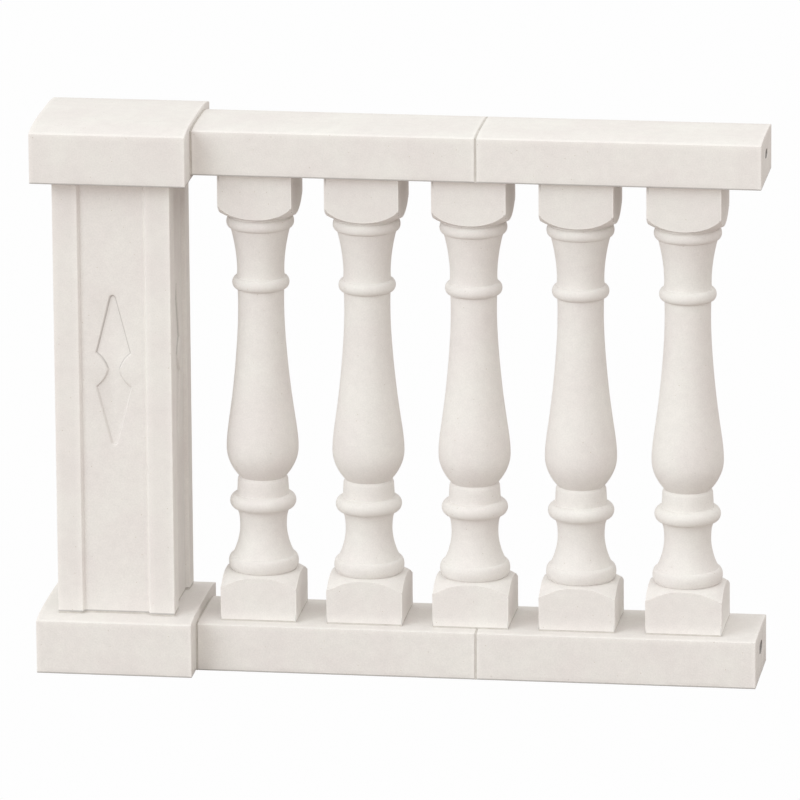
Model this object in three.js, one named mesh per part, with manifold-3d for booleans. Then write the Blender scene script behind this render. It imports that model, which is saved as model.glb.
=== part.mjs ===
// A cast stone balustrade: an end pier and one bay of turned balusters between a plinth and a coping.
// Millimetres, +X along the rail away from the pier, +Y to the back, +Z up, floor at z = 0.
import * as THREE from "three";
import Module from "manifold-3d";
import { mergeVertices } from "three/addons/utils/BufferGeometryUtils.js";

const wasm = await Module();
wasm.setup();

// ---------------------------------------------------------------- driving dimensions
const JOINT = 3; // thickness of every mortar joint
const JOINT_RECESS = 1; // how far the mortar lies back from the faces

const BASE_WIDTH = 277;
const BASE_EDGE_HEIGHT = 96;
const BASE_RISE = 8; // crown of the base above its front and back edges
const SHAFT_WIDTH = 208;
const STRIP_WIDTH = 44; // raised strip along each corner of the shaft
const PANEL_DEPTH = 7; // how far the panel between two strips lies back
const SPLAY_WIDTH = 4.2; // slope from strip to panel
const CAP_WIDTH = 275;
const CAP_UNDERSIDE = 888;
const CAP_EDGE_HEIGHT = 90;
const CAP_RISE = 10;

const PLINTH_UNIT_LENGTH = 493;
const PLINTH_DEPTH = 178;
const PLINTH_EDGE_HEIGHT = 85;
const PLINTH_RISE = 3;
const COPING_UNIT_LENGTH = 497;
const COPING_DEPTH = 167;
const COPING_UNDERSIDE = 898;
const COPING_EDGE_HEIGHT = 79;
const COPING_RISE = 4;
const CROWN_POWER = 4; // a crown falls away mostly near its edges

const BALUSTER_COUNT = 5;
const BALUSTER_PITCH = 188.3;
const BALUSTER_START = 247.5; // from the pier's middle to the first baluster's middle
const FOOT_BLOCK_WIDTH = 134.5; // square block at a baluster's foot
const HEAD_BLOCK_WIDTH = 130.5; // and at its head
const TURNING_SEGMENTS = 20;
const SHOULDER_SEGMENTS = 32;

const MOTIF_HALF_WIDTH = 33;
const MOTIF_WAIST_HALF_WIDTH = 12;
const MOTIF_TIP_HALF_WIDTH = 5;
const MOTIF_SHOULDER = 30; // from the waist to the widest place
const MOTIF_TIP = 137; // from the waist to the tip
const MOTIF_TIP_CHAMFER = 7;
const MOTIF_DEPTH = 4;
const MOTIF_LEVEL = 546; // height of the waist above the floor

const COPING_SOCKET_RADIUS = 8;
const PLINTH_SOCKET_RADIUS = 11;
const SOCKET_SPREAD = 2.2; // a socket is this much wider than it is high
const SOCKET_DEPTH = 110;
const COPING_SOCKET_LEVEL = 46; // above the underside of the coping
const PLINTH_SOCKET_LEVEL = 51; // above the floor
const SOCKET_SEGMENTS = 16;

// ---------------------------------------------------------------- places worked out from them
const PIER_TO_COPING_END = CAP_WIDTH / 2 + 2 * (JOINT + COPING_UNIT_LENGTH);
const TOTAL_LENGTH = BASE_WIDTH / 2 + PIER_TO_COPING_END;
const PIER_X = -TOTAL_LENGTH / 2 + BASE_WIDTH / 2;
const BALUSTER_HEAD = COPING_UNDERSIDE - JOINT;

// ---------------------------------------------------------------- materials
const castStone = new THREE.MeshStandardMaterial({ color: 0xe3ded8, roughness: 0.85, metalness: 0 });
const mortar = new THREE.MeshStandardMaterial({ color: 0xb3aaa0, roughness: 0.95, metalness: 0 });

// ---------------------------------------------------------------- small helpers
function toSolid(geometry) {
  const bare = geometry.clone();
  bare.deleteAttribute("normal");
  bare.deleteAttribute("uv");
  const merged = mergeVertices(bare, 1e-4);
  const mesh = new wasm.Mesh({
    numProp: 3,
    vertProperties: new Float32Array(merged.attributes.position.array),
    triVerts: new Uint32Array(merged.index.array),
  });
  return new wasm.Manifold(mesh);
}

function toGeometry(solid) {
  const mesh = solid.getMesh();
  const geometry = new THREE.BufferGeometry();
  geometry.setAttribute("position", new THREE.BufferAttribute(new Float32Array(mesh.vertProperties), 3));
  geometry.setIndex(new THREE.BufferAttribute(new Uint32Array(mesh.triVerts), 1));
  geometry.computeVertexNormals();
  return geometry;
}

function boxAt(lengthX, depthY, heightZ, middleX, bottomZ) {
  const geometry = new THREE.BoxGeometry(lengthX, depthY, heightZ);
  geometry.translate(middleX, 0, bottomZ + heightZ / 2);
  return geometry;
}

// A bar along X: a rectangle in Y and Z whose top edge is a low crown that rises in the middle.
function crownedBar(startX, length, depth, edgeHeight, rise, bottomZ) {
  const outline = new THREE.Shape();
  outline.moveTo(-depth / 2, 0);
  outline.lineTo(depth / 2, 0);
  outline.lineTo(depth / 2, edgeHeight);
  const steps = 16;
  for (let step = 1; step <= steps; step += 1) {
    const share = Math.sin(Math.PI / 2 - (step * Math.PI) / steps);
    outline.lineTo((share * depth) / 2, edgeHeight + rise * (1 - Math.abs(share) ** CROWN_POWER));
  }
  outline.closePath();
  const geometry = new THREE.ExtrudeGeometry(outline, { depth: length, bevelEnabled: false });
  const alongX = new THREE.Matrix4().makeBasis(
    new THREE.Vector3(0, 1, 0),
    new THREE.Vector3(0, 0, 1),
    new THREE.Vector3(1, 0, 0),
  );
  geometry.applyMatrix4(alongX);
  geometry.translate(startX, 0, bottomZ);
  return geometry;
}

// The space taken by a crowned bar and one joint of mortar on top of it.
function bedSpace(startX, length, depth, edgeHeight, rise) {
  return toSolid(crownedBar(startX, length, depth, edgeHeight, rise, JOINT));
}

// An oval hole along X that opens at endX and runs back by SOCKET_DEPTH.
function socketCutter(radius, endX, levelZ) {
  const overshoot = 5;
  const geometry = new THREE.CylinderGeometry(radius, radius, SOCKET_DEPTH + overshoot, SOCKET_SEGMENTS);
  geometry.rotateZ(Math.PI / 2);
  geometry.scale(1, SOCKET_SPREAD, 1);
  geometry.translate(endX + (overshoot - SOCKET_DEPTH) / 2, 0, levelZ);
  return toSolid(geometry);
}

// ---------------------------------------------------------------- the pier
function pierBase() {
  return crownedBar(PIER_X - BASE_WIDTH / 2, BASE_WIDTH, BASE_WIDTH, BASE_EDGE_HEIGHT, BASE_RISE, 0);
}

// Square shaft with a shallow panel between raised strips on every face.
function shaftPrism() {
  const half = SHAFT_WIDTH / 2;
  const stripEnd = half - STRIP_WIDTH;
  const panelEnd = stripEnd - SPLAY_WIDTH;
  const panelFace = half - PANEL_DEPTH;
  const side = [
    [half, -half],
    [half, -stripEnd],
    [panelFace, -panelEnd],
    [panelFace, panelEnd],
    [half, stripEnd],
  ];
  const outline = [];
  for (let turn = 0; turn < 4; turn += 1) {
    for (const [x, y] of side) {
      outline.push(new THREE.Vector2(x, y).rotateAround(new THREE.Vector2(0, 0), (turn * Math.PI) / 2));
    }
  }
  const height = CAP_UNDERSIDE - JOINT - BASE_EDGE_HEIGHT;
  const geometry = new THREE.ExtrudeGeometry(new THREE.Shape(outline), { depth: height, bevelEnabled: false });
  geometry.translate(PIER_X, 0, BASE_EDGE_HEIGHT);
  return geometry;
}

// Outline of the sunk figure: a long lozenge cut in at its waist by a scoop on each shoulder.
function motifOutline() {
  const bow = new THREE.Vector2(17.6, 18.4); // pulls the shoulder line in towards the axis
  const tip = MOTIF_TIP - MOTIF_TIP_CHAMFER;
  const outline = new THREE.Shape();
  outline.moveTo(-MOTIF_TIP_HALF_WIDTH, -MOTIF_TIP);
  outline.lineTo(MOTIF_TIP_HALF_WIDTH, -MOTIF_TIP);
  outline.lineTo(MOTIF_TIP_HALF_WIDTH + 2.5, -tip);
  outline.lineTo(MOTIF_HALF_WIDTH, -MOTIF_SHOULDER);
  outline.quadraticCurveTo(bow.x, -bow.y, MOTIF_WAIST_HALF_WIDTH, 0);
  outline.quadraticCurveTo(bow.x, bow.y, MOTIF_HALF_WIDTH, MOTIF_SHOULDER);
  outline.lineTo(MOTIF_TIP_HALF_WIDTH + 2.5, tip);
  outline.lineTo(MOTIF_TIP_HALF_WIDTH, MOTIF_TIP);
  outline.lineTo(-MOTIF_TIP_HALF_WIDTH, MOTIF_TIP);
  outline.lineTo(-MOTIF_TIP_HALF_WIDTH - 2.5, tip);
  outline.lineTo(-MOTIF_HALF_WIDTH, MOTIF_SHOULDER);
  outline.quadraticCurveTo(-bow.x, bow.y, -MOTIF_WAIST_HALF_WIDTH, 0);
  outline.quadraticCurveTo(-bow.x, -bow.y, -MOTIF_HALF_WIDTH, -MOTIF_SHOULDER);
  outline.lineTo(-MOTIF_TIP_HALF_WIDTH - 2.5, -tip);
  outline.closePath();
  return outline;
}

function pierShaft() {
  let solid = toSolid(shaftPrism());
  const panelFace = SHAFT_WIDTH / 2 - PANEL_DEPTH;
  for (let turn = 0; turn < 4; turn += 1) {
    const options = { depth: MOTIF_DEPTH * 2, bevelEnabled: false, curveSegments: 4 };
    const cutter = new THREE.ExtrudeGeometry(motifOutline(), options);
    cutter.rotateX(Math.PI / 2);
    cutter.translate(0, -panelFace + MOTIF_DEPTH, MOTIF_LEVEL);
    cutter.rotateZ((turn * Math.PI) / 2);
    cutter.translate(PIER_X, 0, 0);
    solid = solid.subtract(toSolid(cutter));
  }
  const foot = bedSpace(PIER_X - BASE_WIDTH / 2, BASE_WIDTH, BASE_WIDTH, BASE_EDGE_HEIGHT, BASE_RISE);
  return toGeometry(solid.subtract(foot));
}

function pierCap() {
  return crownedBar(PIER_X - CAP_WIDTH / 2, CAP_WIDTH, CAP_WIDTH, CAP_EDGE_HEIGHT, CAP_RISE, CAP_UNDERSIDE);
}

const PIER_BED_WIDTH = SHAFT_WIDTH - 2 * (PANEL_DEPTH + JOINT_RECESS);

function pierFootBed() {
  const column = toSolid(boxAt(PIER_BED_WIDTH, PIER_BED_WIDTH, 40, PIER_X, BASE_EDGE_HEIGHT));
  const space = bedSpace(PIER_X - BASE_WIDTH / 2, BASE_WIDTH, BASE_WIDTH, BASE_EDGE_HEIGHT, BASE_RISE);
  return toGeometry(column.intersect(space).subtract(toSolid(pierBase())));
}

// ---------------------------------------------------------------- plinth and coping
function plinthStart(index) {
  return PIER_X + BASE_WIDTH / 2 + JOINT + index * (PLINTH_UNIT_LENGTH + JOINT);
}

function plinthUnit(index) {
  const bar = crownedBar(
    plinthStart(index), PLINTH_UNIT_LENGTH, PLINTH_DEPTH, PLINTH_EDGE_HEIGHT, PLINTH_RISE, 0,
  );
  if (index === 0) {
    return bar;
  }
  const endX = plinthStart(index) + PLINTH_UNIT_LENGTH;
  return toGeometry(toSolid(bar).subtract(socketCutter(PLINTH_SOCKET_RADIUS, endX, PLINTH_SOCKET_LEVEL)));
}

function plinthJoint(index) {
  const depth = PLINTH_DEPTH - 2 * JOINT_RECESS;
  const edgeHeight = PLINTH_EDGE_HEIGHT - JOINT_RECESS;
  return crownedBar(plinthStart(index) - JOINT, JOINT, depth, edgeHeight, PLINTH_RISE, 0);
}

function copingStart(index) {
  return PIER_X + CAP_WIDTH / 2 + JOINT + index * (COPING_UNIT_LENGTH + JOINT);
}

function copingUnit(index) {
  const bar = crownedBar(
    copingStart(index), COPING_UNIT_LENGTH, COPING_DEPTH, COPING_EDGE_HEIGHT, COPING_RISE, COPING_UNDERSIDE,
  );
  if (index === 0) {
    return bar;
  }
  const endX = copingStart(index) + COPING_UNIT_LENGTH;
  const level = COPING_UNDERSIDE + COPING_SOCKET_LEVEL;
  return toGeometry(toSolid(bar).subtract(socketCutter(COPING_SOCKET_RADIUS, endX, level)));
}

function copingJoint(index) {
  const depth = COPING_DEPTH - 2 * JOINT_RECESS;
  const edgeHeight = COPING_EDGE_HEIGHT - JOINT_RECESS;
  return crownedBar(copingStart(index) - JOINT, JOINT, depth, edgeHeight, COPING_RISE, COPING_UNDERSIDE);
}

// ---------------------------------------------------------------- balusters
// Heights in this section are above PLINTH_EDGE_HEIGHT, and each point is [radius, height].
function ring(bottomZ, topZ, bottomSeat, topSeat, rim) {
  const points = [];
  const steps = 4;
  for (let step = 0; step <= steps; step += 1) {
    const angle = -Math.PI / 2 + (step * Math.PI) / steps;
    const seat = angle < 0 ? bottomSeat : topSeat;
    const radius = seat + (rim - seat) * Math.cos(angle);
    points.push(new THREE.Vector2(radius, (bottomZ + topZ) / 2 + ((topZ - bottomZ) / 2) * Math.sin(angle)));
  }
  return points;
}

function bend(start, startPull, endPull, end, divisions) {
  const corners = [start, startPull, endPull, end].map(([radius, z]) => new THREE.Vector2(radius, z));
  return new THREE.CubicBezierCurve(...corners).getPoints(divisions).slice(1, -1);
}

// Turned part of a baluster, from inside the bottom block to inside the top block.
function turnedProfile() {
  return [
    new THREE.Vector2(0, 40),
    new THREE.Vector2(54, 40),
    ...ring(82, 109, 54, 55, 61.9),
    ...bend([55, 109], [47, 122], [41.2, 145], [41.2, 159], 4),
    new THREE.Vector2(41.2, 160),
    ...bend([41.2, 160], [41.2, 178], [43, 188], [48, 194], 3),
    ...ring(194, 220, 48, 46, 58.4),
    new THREE.Vector2(44.2, 247),
    new THREE.Vector2(40.8, 252),
    ...bend([40.8, 252], [47.5, 259], [63.4, 279], [63.4, 304], 5),
    new THREE.Vector2(63.4, 304),
    ...bend([63.4, 304], [63.4, 344], [51.7, 375], [42.9, 499], 6),
    new THREE.Vector2(42.9, 499),
    ...bend([42.9, 499], [40.5, 535], [39.9, 560], [40.9, 593], 3),
    ...ring(593, 615, 40.9, 42.5, 50.3),
    ...bend([42.5, 615], [40, 622], [41, 663], [52.5, 704], 5),
    ...ring(704, 724, 52.5, 54, 59.4),
    new THREE.Vector2(54, 770),
    new THREE.Vector2(0, 770),
  ];
}

// A square block whose inner end is turned to a rounded shoulder of the given curve.
function turnedBlock(width, outerZ, cornerZ, seatZ, cornerPull, seatPull) {
  const cornerRadius = (width / 2) * Math.SQRT2;
  const clearRadius = cornerRadius + 8;
  const seatRadius = 50;
  const shoulder = bend([cornerRadius, cornerZ], cornerPull, seatPull, [seatRadius, seatZ], 6);
  const profile = [
    new THREE.Vector2(0, outerZ),
    new THREE.Vector2(clearRadius, outerZ),
    new THREE.Vector2(clearRadius, cornerZ),
    new THREE.Vector2(cornerRadius, cornerZ),
    ...shoulder,
    new THREE.Vector2(seatRadius, seatZ),
    new THREE.Vector2(0, seatZ),
  ];
  if (seatZ < outerZ) {
    profile.reverse();
  }
  const lathe = new THREE.LatheGeometry(profile, SHOULDER_SEGMENTS);
  lathe.rotateX(Math.PI / 2);
  const lowest = Math.min(outerZ, seatZ);
  const prism = boxAt(width, width, Math.abs(outerZ - seatZ), 0, lowest);
  return toSolid(lathe).intersect(toSolid(prism));
}

function baluster(index) {
  const lathe = new THREE.LatheGeometry(turnedProfile(), TURNING_SEGMENTS);
  lathe.rotateX(Math.PI / 2);
  const foot = turnedBlock(FOOT_BLOCK_WIDTH, 0, 62.5, 83, [86, 65.5], [76, 82]);
  const headSeat = BALUSTER_HEAD - PLINTH_EDGE_HEIGHT;
  const head = turnedBlock(HEAD_BLOCK_WIDTH, headSeat, 753.5, 726.5, [84, 743], [74, 732]);
  const middleX = PIER_X + BALUSTER_START + index * BALUSTER_PITCH;
  const solid = toSolid(lathe).add(foot).add(head).translate([middleX, 0, PLINTH_EDGE_HEIGHT]);
  const bed = bedSpace(middleX - FOOT_BLOCK_WIDTH, 2 * FOOT_BLOCK_WIDTH, PLINTH_DEPTH, PLINTH_EDGE_HEIGHT, PLINTH_RISE);
  return toGeometry(solid.subtract(bed));
}

const FOOT_BED_WIDTH = FOOT_BLOCK_WIDTH - 2 * JOINT_RECESS;
const HEAD_BED_WIDTH = HEAD_BLOCK_WIDTH - 2 * JOINT_RECESS;

function balusterFootBed(index) {
  const middleX = PIER_X + BALUSTER_START + index * BALUSTER_PITCH;
  const startX = middleX - FOOT_BLOCK_WIDTH;
  const column = toSolid(boxAt(FOOT_BED_WIDTH, FOOT_BED_WIDTH, 20, middleX, PLINTH_EDGE_HEIGHT));
  const space = bedSpace(startX, 2 * FOOT_BLOCK_WIDTH, PLINTH_DEPTH, PLINTH_EDGE_HEIGHT, PLINTH_RISE);
  const plinth = crownedBar(startX, 2 * FOOT_BLOCK_WIDTH, PLINTH_DEPTH, PLINTH_EDGE_HEIGHT, PLINTH_RISE, 0);
  return toGeometry(column.intersect(space).subtract(toSolid(plinth)));
}

function balusterHeadBed(index) {
  const middleX = PIER_X + BALUSTER_START + index * BALUSTER_PITCH;
  return boxAt(HEAD_BED_WIDTH, HEAD_BED_WIDTH, JOINT, middleX, BALUSTER_HEAD);
}

// ---------------------------------------------------------------- assembly
const balustrade = new THREE.Group();
balustrade.name = "stone_balustrade";

function addPiece(name, geometry, material) {
  const mesh = new THREE.Mesh(geometry, material);
  mesh.name = name;
  balustrade.add(mesh);
}

addPiece("pier_base", pierBase(), castStone);
addPiece("pier_foot_bed", pierFootBed(), mortar);
addPiece("pier_shaft", pierShaft(), castStone);
addPiece("pier_head_bed", boxAt(PIER_BED_WIDTH, PIER_BED_WIDTH, JOINT, PIER_X, CAP_UNDERSIDE - JOINT), mortar);
addPiece("pier_cap", pierCap(), castStone);

addPiece("plinth_pier_joint", plinthJoint(0), mortar);
addPiece("plinth_near_pier", plinthUnit(0), castStone);
addPiece("plinth_mid_joint", plinthJoint(1), mortar);
addPiece("plinth_free_end", plinthUnit(1), castStone);

for (let index = 0; index < BALUSTER_COUNT; index += 1) {
  const name = `baluster_${index + 1}`;
  addPiece(`${name}_foot_bed`, balusterFootBed(index), mortar);
  addPiece(name, baluster(index), castStone);
  addPiece(`${name}_head_bed`, balusterHeadBed(index), mortar);
}

addPiece("coping_pier_joint", copingJoint(0), mortar);
addPiece("coping_near_pier", copingUnit(0), castStone);
addPiece("coping_mid_joint", copingJoint(1), mortar);
addPiece("coping_free_end", copingUnit(1), castStone);

export default balustrade;
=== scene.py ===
"""A cast stone balustrade: an end pier and one bay of turned balusters, plinth and coping."""

import logging
import math
import random
from collections.abc import Iterable, Sequence
from dataclasses import dataclass, field
from enum import Enum

import bmesh
import bpy
from bmesh.types import BMEdge, BMFace, BMVert
from bpy.types import Material, Node, NodeSocket, NodeTree
from mathutils import Matrix, Vector, noise


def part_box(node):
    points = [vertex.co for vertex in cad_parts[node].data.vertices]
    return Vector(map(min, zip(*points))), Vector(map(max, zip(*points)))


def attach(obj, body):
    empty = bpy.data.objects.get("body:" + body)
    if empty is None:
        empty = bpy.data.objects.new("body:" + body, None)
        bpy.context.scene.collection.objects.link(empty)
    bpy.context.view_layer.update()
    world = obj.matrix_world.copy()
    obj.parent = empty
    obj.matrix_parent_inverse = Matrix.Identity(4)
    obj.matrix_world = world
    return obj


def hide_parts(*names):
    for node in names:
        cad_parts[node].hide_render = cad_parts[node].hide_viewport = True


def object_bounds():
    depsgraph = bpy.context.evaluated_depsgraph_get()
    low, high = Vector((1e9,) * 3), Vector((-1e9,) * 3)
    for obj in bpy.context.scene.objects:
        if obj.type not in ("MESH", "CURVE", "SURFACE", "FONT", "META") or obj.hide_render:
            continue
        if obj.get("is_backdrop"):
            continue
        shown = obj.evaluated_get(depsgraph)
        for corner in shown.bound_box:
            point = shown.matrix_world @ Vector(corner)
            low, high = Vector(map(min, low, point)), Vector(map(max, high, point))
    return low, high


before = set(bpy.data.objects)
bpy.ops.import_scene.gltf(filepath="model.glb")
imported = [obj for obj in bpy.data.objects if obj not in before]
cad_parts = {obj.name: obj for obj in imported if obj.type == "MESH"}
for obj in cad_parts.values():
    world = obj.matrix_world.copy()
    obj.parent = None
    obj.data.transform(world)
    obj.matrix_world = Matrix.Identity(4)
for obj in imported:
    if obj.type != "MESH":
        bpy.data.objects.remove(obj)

log = logging.getLogger("balustrade")

Point = tuple[float, float]  # across or out from the axis, and up

MM = 0.001  # the meshes are worked in millimetres and end in metres

JOINT = 3.0  # thickness of every mortar joint
RAKE = 1.0  # how far the joints of the CAD lie back from its stone
CROWN_POWER = 4  # a crown falls away mostly near its edges
PLINTH_FALL = 3.0  # the most that a foot scribed to the plinth varies in height

# Each vertex carries a lightness for rubbed wear and rust, and for painted highlight and painted
# shade: each step is a twentieth lighter, or darker where it is negative.
RUBBED_AND_HIGHLIT = 1.0  # an arris rubbed lighter than the faces, partly a painted highlight
PAINTED_UNDERSIDE_SHADE = -7.0  # painted shade on an underside arris
PAINTED_GROOVE_SHADE = -6.0  # painted shade at the foot of a sunk wall
SOCKET_RUST_AND_SHADE = -9.0  # rust and painted shade down a dowel socket

WELD = 1e-3  # vertices closer than this are one
LAST_WELD = 2e-4  # closes true doubles only, and leaves the worn arrises alone
SLIVER = 0.3  # the cuts through a turned block leave edges shorter than this, which are closed up
ON_PLANE = 0.01  # a point this near a plane is on it
SQUARE_ON = 0.999  # a normal that has this much of an axis lies along it
FACES_DOWN = -0.06  # an arris whose normal leans lower than this gets painted shade


class Axis(Enum):
    """An axis of the object, by its place in a vector."""

    ALONG = 0  # along the rail
    ACROSS = 1  # from front to back
    UP = 2


class Slot(Enum):
    """The record's material slots."""

    CAST_STONE = "cast_stone"
    MORTAR = "mortar"


# ---- colours and nodes


def linear(hex_colour: str) -> tuple[float, float, float, float]:
    """Turns an sRGB hex colour to linear.

    Args:
        hex_colour: Six hex digits, with or without a leading #.

    Returns:
        Linear red, green, blue and an alpha of 1.
    """
    digits = hex_colour.lstrip("#")
    channels = [int(digits[place : place + 2], 16) / 255 for place in (0, 2, 4)]
    red, green, blue = (
        c / 12.92 if c <= 0.04045 else ((c + 0.055) / 1.055) ** 2.4 for c in channels
    )
    return red, green, blue, 1.0


def per_metre(size_mm: float) -> float:
    """The texture scale that gives features of this size in millimetres."""
    return 1.0 / (size_mm * MM)


def add_node(
    tree: NodeTree,
    kind: str,
    settings: dict[str, object] | None = None,
    values: dict[str | int, object] | None = None,
    links: dict[str | int, NodeSocket] | None = None,
) -> Node:
    """Adds a node with its settings, input values and incoming links.

    Args:
        tree: The tree that gets the node.
        kind: The node's type name without its "ShaderNode".
        settings: Properties of the node itself.
        values: Default values of its inputs, by name or place.
        links: Sockets that feed its inputs, by name or place.

    Returns:
        The new node.
    """
    node = tree.nodes.new(f"ShaderNode{kind}")
    for name, value in (settings or {}).items():
        setattr(node, name, value)
    for key, value in (values or {}).items():
        node.inputs[key].default_value = value
    for key, socket in (links or {}).items():
        tree.links.new(socket, node.inputs[key])
    return node


def empty_material(name: str) -> tuple[Material, NodeTree, Node]:
    """Makes a material that holds only its output.

    Args:
        name: The material's name.

    Returns:
        The material, its node tree and its output node.
    """
    material = bpy.data.materials.new(name)
    material.use_nodes = True
    tree = material.node_tree
    tree.nodes.clear()
    return material, tree, add_node(tree, "OutputMaterial")


# ---- finishes


@dataclass(frozen=True)
class Pattern:
    """One size of unevenness in stone or mortar."""

    size_mm: float
    detail: float  # how many finer sizes it carries
    harshness: float  # how strong the finer sizes are
    swing: float = 0.0  # how far it moves the lightness up and down

    def inputs(self) -> dict[str, float]:
        """What the noise that draws it is fed."""
        return {"Scale": per_metre(self.size_mm), "Detail": self.detail, "Roughness": self.harshness}


@dataclass(frozen=True)
class CastStone:
    """Cast stone: crushed limestone and white cement, rammed in a mould and lightly etched.

    The eye gets a matt, pale warm grey with faint cloudy patches, a fine sandy tooth, a few
    pinholes painted darker as shade, and arrises rubbed a little lighter than the faces, partly as a
    painted highlight, with painted shade on those that face down.
    """

    warm: str = "#E7E2DF"
    cool: str = "#E6E3DF"
    # The pinholes are painted darker, as painted shade in them.
    pinhole_shade: str = "#CDC3B8"
    roughness: float = 0.85
    roughness_swing: float = 0.06
    ior: float = 1.5
    sheen: float = 0.25  # an etched face mirrors less than a cast one
    cloud: Pattern = Pattern(85.0, 3.0, 0.55, 0.025)  # where the mix was rammed wetter or drier
    blotch: Pattern = Pattern(16.0, 3.0, 0.6, 0.02)
    # The sand is under 1 mm: drawn coarser, or it would not show.
    grain: Pattern = Pattern(2.6, 2.0, 0.65, 0.035)
    middle: tuple[float, float] = (0.3, 0.7)  # the stretch of a pattern that the lightness follows
    hue_middle: tuple[float, float] = (0.35, 0.65)
    batch_swing: float = 0.012  # from one unit's batch to the next
    # One step of rubbed wear, rust, painted highlight or painted shade.
    wear_and_painted_light_step: float = 0.05
    pinhole_spacing_mm: float = 17.0
    pinhole_mm: float = 1.1  # real pinholes are half of this: drawn wider, or they would not show
    pinhole_floor: float = 0.35  # the share of a pinhole that is at its full depth
    # How strong each relief is, and how deep in metres.
    grain_relief: tuple[float, float] = (0.25, 0.0006)
    blotch_relief: tuple[float, float] = (0.2, 0.0012)
    pinhole_relief: tuple[float, float] = (0.6, 0.001)

    def material(self) -> Material:
        """Builds the material."""
        material, tree, output = empty_material("cast_stone_etched_limestone")
        place = add_node(tree, "TexCoord").outputs["Object"]
        # Each unit came from its own batch. The arrises are rubbed lighter, partly as painted
        # highlight; painted shade darkens the arrises that face down and the sunk grooves, and rust
        # and painted shade darken the sockets.
        batch = add_node(tree, "Attribute", {"attribute_name": "batch"})
        arris = add_node(tree, "Attribute", {"attribute_name": "wear_and_painted_light"})
        batch_light = add_node(
            tree, "Math", {"operation": "MULTIPLY_ADD"},
            {1: self.batch_swing, 2: 1.0}, {0: batch.outputs["Fac"]},
        )
        light = add_node(
            tree, "Math", {"operation": "MULTIPLY_ADD"},
            {1: self.wear_and_painted_light_step}, {0: arris.outputs["Fac"], 2: batch_light.outputs[0]},
        )
        # Clouds, blotches and grain each move the lightness by a few parts in a hundred.
        low, high = self.middle
        seen = []
        for pattern in (self.cloud, self.blotch, self.grain):
            texture = add_node(tree, "TexNoise", None, pattern.inputs(), {"Vector": place})
            seen.append(texture.outputs["Fac"])
            swing = add_node(
                tree, "MapRange", None,
                {
                    "From Min": low, "From Max": high,
                    "To Min": 1 - pattern.swing, "To Max": 1 + pattern.swing,
                },
                {"Value": texture.outputs["Fac"]},
            )
            light = add_node(
                tree, "Math", {"operation": "MULTIPLY"},
                None, {0: light.outputs[0], 1: swing.outputs["Result"]},
            )
        cloud, blotch, grain = seen
        hue = add_node(
            tree, "MapRange", None,
            {"From Min": self.hue_middle[0], "From Max": self.hue_middle[1]}, {"Value": cloud},
        )
        body = add_node(
            tree, "Mix", {"data_type": "RGBA"},
            {6: linear(self.warm), 7: linear(self.cool)}, {0: hue.outputs["Result"]},
        )
        lit_body = add_node(
            tree, "VectorMath", {"operation": "SCALE"},
            None, {0: body.outputs[2], "Scale": light.outputs[0]},
        )
        pinholes = add_node(
            tree, "TexVoronoi", None,
            {"Scale": per_metre(self.pinhole_spacing_mm)}, {"Vector": place},
        )
        edge = self.pinhole_mm / self.pinhole_spacing_mm
        pinhole = add_node(
            tree, "MapRange", {"interpolation_type": "SMOOTHSTEP"},
            {"From Min": self.pinhole_floor * edge, "From Max": edge, "To Min": 1.0, "To Max": 0.0},
            {"Value": pinholes.outputs["Distance"]},
        )
        # Painted shade in the pinholes.
        colour = add_node(
            tree, "Mix", {"data_type": "RGBA"},
            {7: linear(self.pinhole_shade)}, {0: pinhole.outputs["Result"], 6: lit_body.outputs[0]},
        )
        bump = None
        for height, (strength, depth), sunk in (
            (grain, self.grain_relief, False),
            (blotch, self.blotch_relief, False),
            (pinhole.outputs["Result"], self.pinhole_relief, True),
        ):
            below = {} if bump is None else {"Normal": bump.outputs["Normal"]}
            bump = add_node(
                tree, "Bump", {"invert": sunk},
                {"Strength": strength, "Distance": depth}, {"Height": height, **below},
            )
        rough = add_node(
            tree, "MapRange", None,
            {
                "From Min": low, "From Max": high,
                "To Min": self.roughness - self.roughness_swing,
                "To Max": self.roughness + self.roughness_swing,
            },
            {"Value": blotch},
        )
        shader = add_node(
            tree, "BsdfPrincipled", None, {"IOR": self.ior, "Specular IOR Level": self.sheen},
            {
                "Base Color": colour.outputs[2],
                "Roughness": rough.outputs["Result"],
                "Normal": bump.outputs["Normal"],
            },
        )
        tree.links.new(shader.outputs["BSDF"], output.inputs["Surface"])
        return material


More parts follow.
